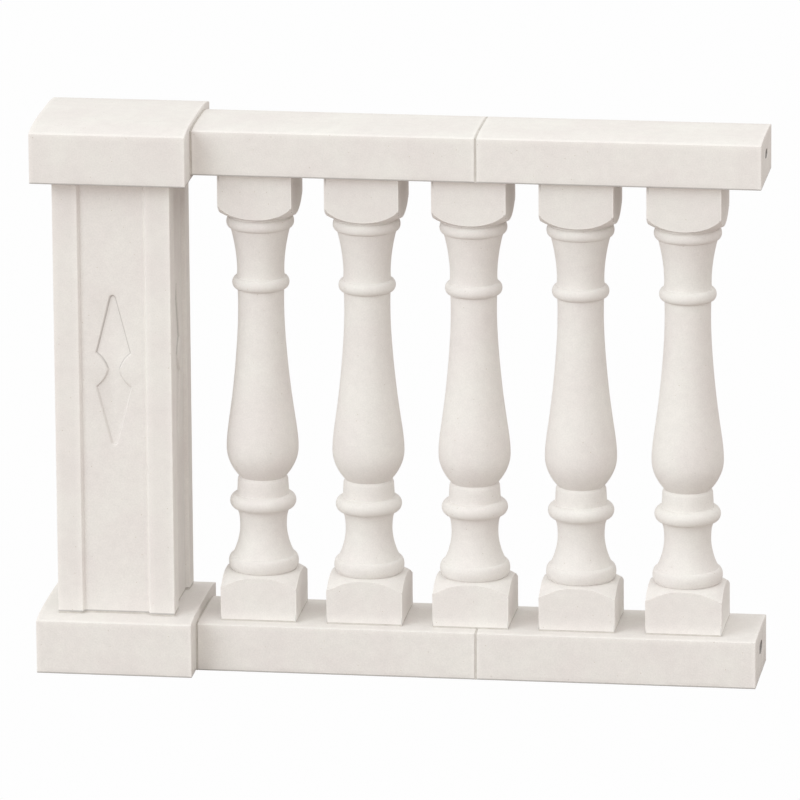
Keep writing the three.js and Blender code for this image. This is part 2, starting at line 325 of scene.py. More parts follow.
@dataclass(frozen=True)
class Mortar:
    """Lime mortar, raked while green to just behind the stone.

    The eye gets a grey sandy line with torn grains.
    """

    pale: str = "#DAD6D0"
    dark: str = "#C4BEB7"
    roughness: float = 0.95
    ior: float = 1.5
    sheen: float = 0.2
    patch: Pattern = Pattern(22.0, 3.0, 0.6)
    sand: Pattern = Pattern(1.8, 3.0, 0.7)  # coarse sand, drawn at its real size
    sand_share: float = 0.5  # how much the sand adds to the patches in the colour
    middle: tuple[float, float] = (0.5, 1.0)  # the stretch of their sum that the colour follows
    relief: tuple[float, float] = (0.6, 0.0008)  # how strong it is, and how deep in metres

    def material(self) -> Material:
        """Builds the material."""
        material, tree, output = empty_material("lime_mortar_raked")
        place = add_node(tree, "TexCoord").outputs["Object"]
        patch = add_node(tree, "TexNoise", None, self.patch.inputs(), {"Vector": place})
        sand = add_node(tree, "TexNoise", None, self.sand.inputs(), {"Vector": place})
        amount = add_node(
            tree, "Math", {"operation": "MULTIPLY_ADD"},
            {1: self.sand_share}, {0: sand.outputs["Fac"], 2: patch.outputs["Fac"]},
        )
        spread = add_node(
            tree, "MapRange", None,
            {"From Min": self.middle[0], "From Max": self.middle[1]}, {"Value": amount.outputs[0]},
        )
        colour = add_node(
            tree, "Mix", {"data_type": "RGBA"},
            {6: linear(self.dark), 7: linear(self.pale)}, {0: spread.outputs["Result"]},
        )
        bump = add_node(
            tree, "Bump", None, {"Strength": self.relief[0], "Distance": self.relief[1]},
            {"Height": sand.outputs["Fac"]},
        )
        shader = add_node(
            tree, "BsdfPrincipled", None,
            {"Roughness": self.roughness, "IOR": self.ior, "Specular IOR Level": self.sheen},
            {"Base Color": colour.outputs[2], "Normal": bump.outputs["Normal"]},
        )
        tree.links.new(shader.outputs["BSDF"], output.inputs["Surface"])
        return material


# ---- shapes shared by the pieces


@dataclass(frozen=True)
class Crown:
    """A top that falls away towards its front and back edges, so that rain runs off."""

    depth: float
    edge_level: float
    rise: float

    def level(self, across: float) -> float:
        """The height of the top at this distance from the middle line."""
        share = min(1.0, abs(2 * across / self.depth))
        return self.edge_level + self.rise * (1 - share**CROWN_POWER)


def node_box(node: str) -> tuple[Vector, Vector]:
    """The lowest and highest corner of a CAD node in millimetres."""
    low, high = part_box(node)
    return Vector(low) / MM, Vector(high) / MM


def spaced(start: float, end: float, step: float) -> list[float]:
    """Even places strictly between two ends.

    Args:
        start: The first end.
        end: The other end.
        step: About how far apart the places are.

    Returns:
        The places in order, without the ends.
    """
    count = max(1, round((end - start) / step))
    return [start + (end - start) * place / count for place in range(1, count)]


def bezier(points: Sequence[Point], divisions: int) -> list[Point]:
    """Points on a Bezier curve of any order.

    Args:
        points: Its control points.
        divisions: How many stretches the curve is cut into.

    Returns:
        The points from the first control point to the last.
    """
    line = []
    for place in range(divisions + 1):
        share = place / divisions
        level = [Vector(point) for point in points]
        while len(level) > 1:
            level = [a.lerp(b, share) for a, b in zip(level, level[1:])]
        line.append((level[0].x, level[0].y))
    return line


@dataclass(frozen=True)
class Arris:
    """How the sharp edges of a unit are rounded and worn."""

    least_degrees: float = 45.0  # edges that turn by less stay as they are
    width: float = 1.4
    segments: int = 3
    hold: float = 1.0  # a strip beside the rounding, so that the flat faces are shaded flat
    worn: float = 0.4  # the most that a rubbed place is worn back
    worn_size: float = 34.0  # about how long one worn place is
    rubbed_share: float = 0.7  # of the wear, by even rubbing
    chip_size: float = 0.35  # a chip's length as a share of a worn place's
    chip_level: float = 0.45  # the noise is a chip where it is above this
    chip_depth: float = 2.0  # how steeply a chip goes in


class StoneMesh:
    """A bmesh worked in millimetres, with the moves that every unit of the balustrade needs."""

    def __init__(self) -> None:
        """Starts empty."""
        self.bm = bmesh.new()
        # Lighter for rubbed arrises and painted highlight, darker for painted shade and rust.
        self.wear_and_painted_light = self.bm.verts.layers.float.new("wear_and_painted_light")
        self.batch = self.bm.verts.layers.float.new("batch")

    def block(self, low: Vector, high: Vector) -> None:
        """Adds a box between two corners."""
        made = bmesh.ops.create_cube(self.bm, size=1.0)["verts"]
        bmesh.ops.scale(self.bm, vec=high - low, verts=made)
        bmesh.ops.translate(self.bm, vec=(low + high) / 2, verts=made)

    def cut(self, axis: Axis, places: Iterable[float]) -> None:
        """Cuts every face across an axis at each place."""
        normal = Vector((0, 0, 0))
        normal[axis.value] = 1.0
        for place in places:
            bmesh.ops.bisect_plane(
                self.bm, geom=self.bm.verts[:] + self.bm.edges[:] + self.bm.faces[:],
                dist=WELD, plane_co=normal * place, plane_no=normal,
            )

    def convex_edges(self, least_degrees: float) -> list[BMEdge]:
        """The outward edges whose faces turn by at least this angle."""
        self.bm.normal_update()
        least = math.radians(least_degrees)
        return [
            edge for edge in self.bm.edges
            if edge.is_manifold and edge.calc_face_angle_signed(0.0) >= least
        ]

    def round_arrises(self, edges: list[BMEdge], arris: Arris) -> None:
        """Rounds edges, marks the rounding and holds the faces beside it flat.

        Args:
            edges: The edges to round.
            arris: How they are rounded.
        """
        made = bmesh.ops.bevel(
            self.bm, geom=edges, offset=arris.width, offset_type="OFFSET", segments=arris.segments,
            profile=0.5, affect="EDGES", clamp_overlap=True, material=-1,
        )
        rounded = set(made["faces"])
        self.bm.normal_update()
        for face in rounded:
            for vert in face.verts:
                # Arrises that face down get painted shade; the others are rubbed lighter, partly a
                # painted highlight.
                vert[self.wear_and_painted_light] = PAINTED_UNDERSIDE_SHADE if vert.normal.z < FACES_DOWN else RUBBED_AND_HIGHLIT
        flats = [face for face in self.bm.faces if face not in rounded]
        bmesh.ops.inset_region(
            self.bm, faces=flats, thickness=arris.hold, use_boundary=True, use_even_offset=False,
        )

    def wear(self, arris: Arris, seed: Vector) -> None:
        """Rubs the rounded edges unevenly, always into the stone.

        Args:
            arris: How they are worn.
            seed: Where in the noise this piece is.
        """
        self.bm.normal_update()
        moves = []
        for vert in self.bm.verts:
            if vert[self.wear_and_painted_light] != 0.0:
                rubbed = noise.noise((vert.co + seed) / arris.worn_size) * 0.5 + 0.5
                crest = noise.noise((vert.co - seed) / (arris.worn_size * arris.chip_size))
                chip = max(0.0, crest - arris.chip_level) * arris.chip_depth
                depth = arris.worn * (arris.rubbed_share * rubbed**2 + chip)
                moves.append((vert, vert.normal * -depth))
        for vert, move in moves:
            vert.co += move

    def open_gap(self, faces: list[BMFace]) -> list[BMEdge]:
        """Takes some faces of one plane away.

        Args:
            faces: The faces.

        Returns:
            The edges round the gap.
        """
        gone = set(faces)
        rim = [
            edge for edge in {edge for face in faces for edge in face.edges}
            if sum(1 for face in edge.link_faces if face in gone) == 1
        ]
        bmesh.ops.delete(self.bm, geom=faces, context="FACES")
        return rim

    def draw_out(
        self, edges: list[BMEdge]
    ) -> tuple[list[BMVert], list[BMEdge]]:
        """Starts a wall from some edges.

        Args:
            edges: The edges that the wall springs from.

        Returns:
            The vertices of its far end, still in place, and the edges between them.
        """
        made = bmesh.ops.extrude_edge_only(self.bm, edges=edges)["geom"]
        verts = [item for item in made if isinstance(item, BMVert)]
        ends = [
            item for item in made
            if isinstance(item, BMEdge) and all(vert in verts for vert in item.verts)
        ]
        return verts, ends

    def fill(self, edges: Iterable[BMEdge], normal: Vector) -> None:
        """Closes the flat space bounded by some edges, leaving any loop inside it open."""
        bmesh.ops.triangle_fill(self.bm, use_beauty=True, edges=list(edges), normal=normal)

    def to_piece(
        self, material: Material, slot: Slot, node: str, sharp_degrees: float = 38.0
    ) -> None:
        """Ends the mesh as an object in metres that stands for a CAD node.

        Args:
            material: Its finish.
            slot: The record's slot that it takes the finish from.
            node: The CAD node that it replaces.
            sharp_degrees: Edges that turn by more than this are shaded sharp.
        """
        name = f"{node}_{slot.value.removeprefix('cast_')}"
        bm = self.bm
        tone = random.Random(name).uniform(-1.0, 1.0)
        for vert in bm.verts:
            vert[self.batch] = tone
        bmesh.ops.remove_doubles(bm, verts=bm.verts, dist=LAST_WELD)
        bmesh.ops.recalc_face_normals(bm, faces=bm.faces)
        bmesh.ops.scale(bm, vec=Vector((MM, MM, MM)), verts=bm.verts)
        bm.normal_update()
        sharp = math.radians(sharp_degrees)
        for edge in bm.edges:
            edge.smooth = edge.calc_face_angle(0.0) < sharp
        for face in bm.faces:
            face.smooth = True
        mesh = bpy.data.meshes.new(name)
        bm.to_mesh(mesh)
        bm.free()
        mesh.materials.append(material)
        piece = bpy.data.objects.new(name, mesh)
        bpy.context.scene.collection.objects.link(piece)
        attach(piece, "root")
        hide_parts(node)
        log.info("%s: %d faces, stands for %s", name, len(mesh.polygons), node)


# ---- pieces


@dataclass
class CrownedBar:
    """A moulded unit with square sides and a crowned top: base, cap, plinth or coping."""

    node: str
    rise: float
    arris: Arris = Arris()
    strip_across: float = 8.0  # cuts that carry the curve of the crown
    strip_along: float = 9.0  # cuts that let the arrises wear unevenly
    strip_up: float = 11.0
    socket_radius: float = 0.0  # no socket where it is 0
    socket_level: float = 0.0  # above the underside
    socket_spread: float = 2.2  # a socket is this much wider than it is high
    socket_depth: float = 110.0
    socket_chamfer: float = 0.8
    socket_around: int = 40

    def crown(self) -> Crown:
        """The curve of its top."""
        low, high = node_box(self.node)
        return Crown(high.y - low.y, high.z - self.rise, self.rise)

    def build(self, material: Material) -> None:
        """Builds the unit.

        Args:
            material: Its finish.
        """
        low, high = node_box(self.node)
        crown = self.crown()
        foot_line = low.z + 2 * self.arris.width
        stone = StoneMesh()
        stone.block(low, Vector((high.x, high.y, crown.edge_level)))
        stone.cut(Axis.ALONG, spaced(low.x, high.x, self.strip_along))
        stone.cut(Axis.ACROSS, spaced(low.y, high.y, self.strip_across))
        stone.cut(Axis.UP, [foot_line, *spaced(low.z, crown.edge_level, self.strip_up)])
        for vert in stone.bm.verts:
            if vert.co.z > crown.edge_level - WELD:
                vert.co.z = crown.level(vert.co.y)
        stone.round_arrises(stone.convex_edges(self.arris.least_degrees), self.arris)
        stone.wear(self.arris, low)
        if self.socket_radius > 0:
            self.sink_socket(stone, low, high)
        stone.to_piece(material, Slot.CAST_STONE, self.node)

    def sink_socket(self, stone: StoneMesh, low: Vector, high: Vector) -> None:
        """Opens the dowel socket in the free end.

        Args:
            stone: The unit's mesh.
            low: The unit's lowest corner.
            high: The unit's highest corner.
        """
        bm = stone.bm
        bm.normal_update()
        inner = self.arris.width + self.arris.hold
        rim = stone.open_gap([
            face for face in bm.faces
            if face.normal.x > SQUARE_ON and face.calc_center_median().x > high.x - ON_PLANE
            and all(
                low.y + inner < vert.co.y < high.y - inner and vert.co.z > low.z + inner
                for vert in face.verts
            )
        ])
        level = low.z + self.socket_level
        mouth = self.socket_radius + self.socket_chamfer
        made = bmesh.ops.create_circle(bm, radius=mouth, segments=self.socket_around)["verts"]
        bmesh.ops.rotate(bm, verts=made, matrix=Matrix.Rotation(math.pi / 2, 3, "Y"))
        bmesh.ops.scale(bm, verts=made, vec=(1, self.socket_spread, 1))
        bmesh.ops.translate(bm, verts=made, vec=(high.x, 0, level))
        loop = list({edge for vert in made for edge in vert.link_edges})
        stone.fill(loop + rim, Vector((1, 0, 0)))
        for inward, share in (
            (self.socket_chamfer, self.socket_radius / mouth),
            (self.socket_depth - self.socket_chamfer, 1.0),
        ):
            verts, loop = stone.draw_out(loop)
            for vert in verts:
                # Rust and painted shade darken the socket's walls.
                vert[stone.wear_and_painted_light] = SOCKET_RUST_AND_SHADE
            bmesh.ops.translate(bm, verts=verts, vec=(-inward, 0, 0))
            bmesh.ops.scale(
                bm, verts=verts, vec=(1, share, share), space=Matrix.Translation((0, 0, -level)),
            )
        bmesh.ops.edgeloop_fill(bm, edges=loop)


@dataclass
class SunkLozenge:
    """The long lozenge sunk in each panel, cut in at its waist by a scoop on each shoulder."""

    half_width: float = 33.0
    waist_half_width: float = 12.0
    shoulder: float = 30.0  # from the waist to the widest place
    bow: tuple[float, float] = (17.6, 18.4)  # pulls the scoop in towards the axis
    tip: float = 137.0  # from the waist to the tip
    tip_radius: float = 7.5
    level: float = 546.0  # height of the waist above the floor
    clear: float = 152.0  # half the height of the panel's stretch that it is let into
    tip_steps: int = 6
    scoop_steps: int = 9
    # Steps down the wall: how far in and how far down, rounded at the rim and at the floor.
    wall: tuple[tuple[float, float], ...] = (
        (0.5, 0.15), (0.4, 0.55), (2.2, 2.6), (0.4, 0.55), (0.5, 0.15),
    )
    shaded_steps: tuple[int, ...] = (2, 3)  # painted shade at the foot of the wall
    lower_shade_share: float = 0.2  # the share of the painted shade that is kept below the waist

    def quarter(self) -> list[Point]:
        """One quarter of the outline, from the tip to the waist.

        Returns:
            Points across and up from the waist's middle.
        """
        centre = self.tip - self.tip_radius
        # The straight side leaves the tip's arc as a tangent that runs to the shoulder.
        to_shoulder = math.atan2(self.shoulder - centre, self.half_width)
        reach = math.hypot(self.half_width, centre - self.shoulder)
        finish = to_shoulder + math.acos(self.tip_radius / reach)
        arc = []
        for step in range(self.tip_steps + 1):
            angle = math.pi / 2 + (finish - math.pi / 2) * step / self.tip_steps
            across, up = self.tip_radius * math.cos(angle), self.tip_radius * math.sin(angle)
            arc.append((across, centre + up))
        shoulder, waist = (self.half_width, self.shoulder), (self.waist_half_width, 0.0)
        return arc + bezier([shoulder, self.bow, waist], self.scoop_steps)

    def sink(self, stone: StoneMesh, panel_face: float, panel_half: float, turn: float) -> None:
        """Lets the lozenge into one panel.

        Args:
            stone: The shaft's mesh, with its middle on the origin's axis.
            panel_face: Distance from the axis to the panel.
            panel_half: Half the panel's width.
            turn: Which panel, as an angle from the front one.
        """
        bm = stone.bm
        bm.normal_update()
        spin = Matrix.Rotation(turn, 3, "Z")
        back = spin.inverted()
        zone = []
        for face in bm.faces:
            centre = back @ face.calc_center_median()
            if (back @ face.normal).y < -SQUARE_ON and abs(centre.y + panel_face) < ON_PLANE:
                if abs(centre.x) < panel_half and abs(centre.z - self.level) < self.clear:
                    zone.append(face)
        rim = stone.open_gap(zone)
        chain = [bm.verts.new((across, 0.0, up)) for across, up in self.quarter()]
        edges = [bm.edges.new(pair) for pair in zip(chain, chain[1:])]
        loop = edges
        for axis in ("Z", "X"):
            verts = {vert for edge in loop for vert in edge.verts}
            bmesh.ops.mirror(
                bm, geom=[*verts, *loop], matrix=Matrix.Identity(4), merge_dist=ON_PLANE, axis=axis,
            )
            loop = [edge for edge in bm.edges if edge.is_wire]
        verts = list({vert for edge in loop for vert in edge.verts})
        bmesh.ops.translate(bm, verts=verts, vec=(0.0, -panel_face, self.level))
        bmesh.ops.rotate(bm, verts=verts, cent=(0, 0, 0), matrix=spin)
        outward = spin @ Vector((0, -1, 0))
        stone.fill(loop + rim, outward)
        floor = bmesh.ops.edgeloop_fill(bm, edges=loop)["faces"]
        for step, (inward, down) in enumerate(self.wall):
            bmesh.ops.inset_region(
                bm, faces=floor, thickness=inward, depth=-down,
                use_boundary=True, use_even_offset=True,
            )
            # Painted shade at the foot of the sunk wall, weaker below the waist.
            groove_shade = PAINTED_GROOVE_SHADE if step in self.shaded_steps else 0.0
            for vert in {vert for face in floor for vert in face.verts}:
                vert[stone.wear_and_painted_light] = groove_shade if vert.co.z > self.level else self.lower_shade_share * groove_shade


@dataclass
class PierShaft:
    """The square shaft of the pier, with a shallow panel between raised strips on every face."""

    node: str = "pier_shaft"
    strip_width: float = 44.0
    panel_depth: float = 7.0
    splay_width: float = 4.2
    arris: Arris = Arris(least_degrees=40.0)
    step: float = 12.0
    lozenge: SunkLozenge = field(default_factory=SunkLozenge)

    def panel_plan(self) -> tuple[float, float]:
        """Half the panel's width, and its depth."""
        low, high = node_box(self.node)
        return (high.x - low.x) / 2 - self.strip_width - self.splay_width, self.panel_depth

    def build(self, base: Crown, material: Material) -> None:
        """Builds the shaft.

        Args:
            base: The crowned top that its foot is scribed to.
            material: Its finish.
        """
        low, high = node_box(self.node)
        half = (high.x - low.x) / 2
        middle = (low.x + high.x) / 2
        stone = StoneMesh()
        stone.block(Vector((-half, -half, base.edge_level)), Vector((half, half, high.z)))
        strip_end = half - self.strip_width
        panel_half = strip_end - self.splay_width
        panel_face = half - self.panel_depth
        lines = [
            -strip_end, -panel_half, *spaced(-panel_half, panel_half, self.step),
            panel_half, strip_end,
            *spaced(-half, -strip_end, self.step), *spaced(strip_end, half, self.step),
        ]
        stone.cut(Axis.ALONG, lines)
        stone.cut(Axis.ACROSS, lines)
        stone.cut(Axis.UP, spaced(base.edge_level, high.z, self.step))
        for vert in stone.bm.verts:
            flat = vert.co.xy.copy()
            if abs(flat.x) < panel_half + WELD and abs(flat.y) > half - WELD:
                vert.co.y = math.copysign(panel_face, flat.y)
            if abs(flat.y) < panel_half + WELD and abs(flat.x) > half - WELD:
                vert.co.x = math.copysign(panel_face, flat.x)
            if vert.co.z < base.edge_level + WELD:
                vert.co.z = base.level(vert.co.y) + JOINT
        stone.round_arrises(stone.convex_edges(self.arris.least_degrees), self.arris)
        stone.wear(self.arris, low)
        for side in range(4):
            self.lozenge.sink(stone, panel_face, panel_half, side * math.pi / 2)
        bmesh.ops.translate(stone.bm, verts=stone.bm.verts, vec=(middle, 0, 0))
        stone.to_piece(material, Slot.CAST_STONE, self.node)


@dataclass
class Baluster:
    """A turned baluster between two square blocks.

    Heights are above the plinth's edge, and each point is radius and height.
    """

    node: str
    foot_half: float = 67.25
    head_half: float = 65.25
    foot_corner: float = 62.5  # where the bottom block's corners end
    head_corner: float = 753.5  # where the top block's corners start
    around: int = 112
    arris: Arris = Arris(least_degrees=30.0, hold=0.6, worn_size=30.0)
    run_on: tuple[float, float] = (3.0, 4.0)  # the turning runs on past a block's corner
    same_point: float = 0.05  # outline points nearer than this are one
    block_rings: tuple[float, ...] = (0.03, 0.25, 0.5, 0.75, 1.0)  # from the shoulder to the seat
    noise_spread: float = 3.0  # takes neighbours' places in the noise further apart

    def ring(
        self, bottom: float, top: float, bottom_seat: float, top_seat: float, rim: float,
        steps: int = 12,
    ) -> list[Point]:
        """A half-round ring.

        Args:
            bottom: Height of its lower seat.
            top: Height of its upper seat.
            bottom_seat: Radius that it springs from below.
            top_seat: Radius that it returns to above.
            rim: Its largest radius.
            steps: Number of stretches in its outline.

        Returns:
            Its outline from the bottom up.
        """
        points = []
        for step in range(steps + 1):
            angle = -math.pi / 2 + step * math.pi / steps
            seat = bottom_seat if angle < 0 else top_seat
            height = (bottom + top) / 2 + (top - bottom) / 2 * math.sin(angle)
            points.append((seat + (rim - seat) * math.cos(angle), height))
        return points

    def outline(self) -> list[Point]:
        """The turned outline, from one block's corner to the other's.

        Returns:
            Radius and height of each point.
        """
        foot_radius, head_radius = self.foot_half * math.sqrt(2), self.head_half * math.sqrt(2)
        out, along = self.run_on
        points = [
            (foot_radius + out, self.foot_corner - along),
            # The foot: its shoulder, a ring, a hollow neck and a second ring.
            *bezier([(foot_radius, self.foot_corner), (86, 65.5), (76, 82), (55.5, 83.2)], 16),
            *self.ring(82, 109, 54, 55, 61.9)[1:],
            *bezier([(55, 109), (47, 122), (41.2, 145), (41.2, 160)], 10),
            *bezier([(41.2, 160), (41.2, 178), (43, 188), (48, 194)], 8),
            *self.ring(194, 220, 48, 46, 58.4),
            # The collar with its chamfer.
            *bezier([(45.8, 221), (44.4, 246.5)], 3),
            *bezier([(44.2, 247), (43.4, 249.6), (40.9, 251.6)], 3),
            # The belly, and the long taper above it.
            *bezier([(40.8, 252), (47.5, 259), (63.4, 279), (63.4, 304)], 14),
            *bezier([(63.4, 304), (63.4, 344), (51.7, 375), (42.9, 499)], 20),
            *bezier([(42.9, 499), (40.5, 535), (39.9, 560), (40.9, 593)], 8),
            # The head: two rings with a flared neck between them, and its shoulder.
            *self.ring(593, 615, 40.9, 42.5, 50.3, 10),
            *bezier([(42.5, 615), (40, 622), (41, 663), (52.5, 704)], 12),
            *self.ring(704, 724, 52.5, 54, 59.4, 10),
            *bezier([(54.2, 726.5), (74, 732), (84, 743), (head_radius, self.head_corner)], 16),
            (head_radius + out, self.head_corner + along),
        ]
        kept = [points[0]]
        for point in points[1:]:
            if math.dist(point, kept[-1]) > self.same_point:
                kept.append(point)
        return kept

    def build(self, plinth: Crown, material: Material) -> None:
        """Turns the baluster.

        Args:
            plinth: The crowned top that its foot is scribed to.
            material: Its finish.
        """
        low, high = node_box(self.node)
        middle = (low.x + high.x) / 2
        floor = plinth.edge_level
        stone = StoneMesh()
        bm = stone.bm
        chain = [bm.verts.new((radius, 0.0, floor + height)) for radius, height in self.outline()]
        edges = [bm.edges.new(pair) for pair in zip(chain, chain[1:])]
        bmesh.ops.spin(
            bm, geom=[*chain, *edges], cent=(0, 0, 0), axis=(0, 0, 1),
            angle=2 * math.pi, steps=self.around, use_merge=True,
        )
        bmesh.ops.remove_doubles(bm, verts=bm.verts, dist=WELD)
        middle_level = (floor + high.z) / 2
        for upper in (False, True):
            self.shape_block(stone, upper, middle_level, high.z, plinth)
        bmesh.ops.remove_doubles(bm, verts=bm.verts, dist=SLIVER)
        bmesh.ops.recalc_face_normals(bm, faces=bm.faces)
        self.round_blocks(stone)
        stone.wear(self.arris, low * self.noise_spread)
        bmesh.ops.translate(bm, verts=bm.verts, vec=(middle, 0, 0))
        stone.to_piece(material, Slot.CAST_STONE, self.node)

    def shape_block(
        self, stone: StoneMesh, upper: bool, middle_level: float, top: float, plinth: Crown
    ) -> None:
        """Cuts flat sides on the turned shoulder of one block and draws it out to its seat.

        Args:
            stone: The baluster's mesh.
            upper: True for the top block.
            middle_level: A height between the two blocks.
            top: Height of the top block's seat.
            plinth: The crowned top under the bottom block.
        """
        bm = stone.bm
        half = self.head_half if upper else self.foot_half
        for side in ((1, 0, 0), (-1, 0, 0), (0, 1, 0), (0, -1, 0)):
            normal = Vector(side)
            verts = {vert for vert in bm.verts if (vert.co.z > middle_level) == upper}
            edges = [edge for edge in bm.edges if all(vert in verts for vert in edge.verts)]
            faces = [face for face in bm.faces if all(vert in verts for vert in face.verts)]
            bmesh.ops.bisect_plane(
                bm, geom=[*verts, *edges, *faces], dist=WELD,
                plane_co=normal * half, plane_no=normal, clear_outer=True,
            )
        ends = [
            edge for edge in bm.edges
            if edge.is_boundary and (edge.verts[0].co.z > middle_level) == upper
        ]
        done = 0.0
        for share in self.block_rings:
            wall, ends = stone.draw_out(ends)
            for vert in wall:
                seat = top if upper else plinth.level(vert.co.y) + JOINT
                vert.co.z += (seat - vert.co.z) * (share - done) / (1 - done)
            done = share
        stone.fill(ends, Vector((0, 0, 1 if upper else -1)))

    def round_blocks(self, stone: StoneMesh) -> None:
        """Rounds the blocks' arrises and holds their faces flat."""
        bm = stone.bm
        middle_level = sum(vert.co.z for vert in bm.verts) / len(bm.verts)

        def on_side(vert: BMVert) -> bool:
            """True for a vertex on one of the block's four sides."""
            half = self.head_half if vert.co.z > middle_level else self.foot_half
            return max(abs(vert.co.x), abs(vert.co.y)) > half - ON_PLANE

        sharp = stone.convex_edges(self.arris.least_degrees)
        stone.round_arrises([edge for edge in sharp if all(map(on_side, edge.verts))], self.arris)
        # The shoulder of the foot faces up: it gets no painted shade, and its arrises are rubbed
        # lighter, partly a painted highlight.
        foot_arris = min(vert.co.z for vert in bm.verts) + 3 * self.arris.width + PLINTH_FALL
        for vert in bm.verts:
            if foot_arris < vert.co.z < middle_level and vert[stone.wear_and_painted_light] < 0:
                vert[stone.wear_and_painted_light] = RUBBED_AND_HIGHLIT


@dataclass
class MortarBed:
    """A bed or an upright joint of mortar, nearly flush with the stone."""

    node: str
    recess: float = 0.3  # how far it lies back from the stone's faces
    panel: tuple[float, float] | None = None  # half width and depth of a panel in the stone above
    bottom: Crown | None = None  # flat where there is none
    top: Crown | None = None
    top_lift: float = 0.0  # from the crown to the joint's own top
    step: float = 7.0
    torn: float = 0.4  # the most that the struck faces are torn in
    torn_size: float = 5.0  # about how long one torn place is
    sharp_degrees: float = 70.0

    def build(self, material: Material) -> None:
        """Builds the joint.

        Args:
            material: Its finish.
        """
        low, high = node_box(self.node)
        upright = high.x - low.x < 2 * JOINT
        spread = RAKE - self.recess + (self.panel[1] if self.panel else 0.0)
        outward = Vector((0 if upright else spread, spread, 0))
        low, high = low - outward, high + outward
        stone = StoneMesh()
        stone.block(low, high)
        stone.cut(Axis.ALONG, spaced(low.x, high.x, self.step))
        stone.cut(Axis.ACROSS, spaced(low.y, high.y, self.step))
        stone.cut(Axis.UP, spaced(low.z, high.z, self.step) or [(low.z + high.z) / 2])
        middle = (low + high) / 2
        for vert in stone.bm.verts:
            self.tear(vert, low, high, upright)
            if self.panel:
                self.follow_panel(vert, middle, high)
            floor = self.bottom.level(vert.co.y) if self.bottom else low.z
            roof = self.top.level(vert.co.y) + self.top_lift if self.top else high.z
            share = (vert.co.z - low.z) / (high.z - low.z)
            vert.co.z = floor + (roof - floor) * share
        stone.to_piece(material, Slot.MORTAR, self.node, self.sharp_degrees)

    def follow_panel(self, vert: BMVert, middle: Vector, high: Vector) -> None:
        """Draws the middle of each face back under the panel above.

        Args:
            vert: A vertex of the joint while it is still a box.
            middle: The box's middle.
            high: The box's highest corner.
        """
        half_width, depth = self.panel
        outer = high.x - middle.x - 2 * self.torn
        for place, other in ((0, 1), (1, 0)):
            away = vert.co[place] - middle[place]
            if abs(vert.co[other] - middle[other]) < half_width:
                reach = abs(away) - depth if abs(away) > outer else min(abs(away), outer - depth)
                vert.co[place] = middle[place] + math.copysign(reach, away)

    def tear(self, vert: BMVert, low: Vector, high: Vector, upright: bool) -> None:
        """Roughens the struck faces, always inwards.

        Args:
            vert: A vertex of the joint while it is still a box.
            low: The box's lowest corner.
            high: The box's highest corner.
            upright: True for a joint between two units of a course.
        """
        depth = self.torn * (noise.noise(vert.co / self.torn_size) * 0.5 + 0.5)
        struck = (Axis.ACROSS, Axis.UP) if upright else (Axis.ALONG, Axis.ACROSS)
        for axis in struck:
            place = axis.value
            if abs(vert.co[place] - high[place]) < WELD:
                vert.co[place] -= depth
            elif abs(vert.co[place] - low[place]) < WELD and axis is not Axis.UP:
                vert.co[place] += depth


# ---- the sub-assemblies


@dataclass
class Pier:
    """The end pier: base, panelled shaft and cap."""

    base: CrownedBar = field(default_factory=lambda: CrownedBar("pier_base", rise=8.0))
    shaft: PierShaft = field(default_factory=PierShaft)
    cap: CrownedBar = field(default_factory=lambda: CrownedBar("pier_cap", rise=10.0))

    def build(self, stone: Material, mortar: Material) -> None:
        """Builds the pier from the floor up."""
        base = self.base.crown()
        self.base.build(stone)
        panel = self.shaft.panel_plan()
        MortarBed("pier_foot_bed", panel=panel, top=base, bottom=base, top_lift=JOINT).build(mortar)
        self.shaft.build(base, stone)
        MortarBed("pier_head_bed", panel=panel).build(mortar)
        self.cap.build(stone)


@dataclass
class Rail:
    """A course of two units along the bay: the plinth or the coping."""

    name: str
    rise: float
    socket_radius: float
    socket_level: float

    def build(self, stone: Material, mortar: Material) -> Crown:
        """Builds the course with its two upright joints.

        Args:
            stone: The units' finish.
            mortar: The joints' finish.

        Returns:
            The crown of its units.
        """
        near = CrownedBar(f"{self.name}_near_pier", self.rise)
        free = CrownedBar(
            f"{self.name}_free_end", self.rise,
            socket_radius=self.socket_radius, socket_level=self.socket_level,
        )
        near.build(stone)
        free.build(stone)
        crown = near.crown()
        for joint in (f"{self.name}_pier_joint", f"{self.name}_mid_joint"):
            bed = MortarBed(joint, top=crown)
            bed.top_lift = -bed.recess
            bed.build(mortar)
        return crown


@dataclass
class BalusterRow:
    """The five balusters of the bay, each bedded at its foot and head."""

    count: int = 5

    def build(self, plinth: Crown, stone: Material, mortar: Material) -> None:
        """Builds the row from the pier out.

        Args:
            plinth: The crown that the feet stand on.
            stone: The balusters' finish.
            mortar: The beds' finish.
        """
        for number in range(1, self.count + 1):
            node = f"baluster_{number}"
            MortarBed(f"{node}_foot_bed", top=plinth, bottom=plinth, top_lift=JOINT).build(mortar)
            Baluster(node).build(plinth, stone)
            MortarBed(f"{node}_head_bed").build(mortar)


# ---- the studio


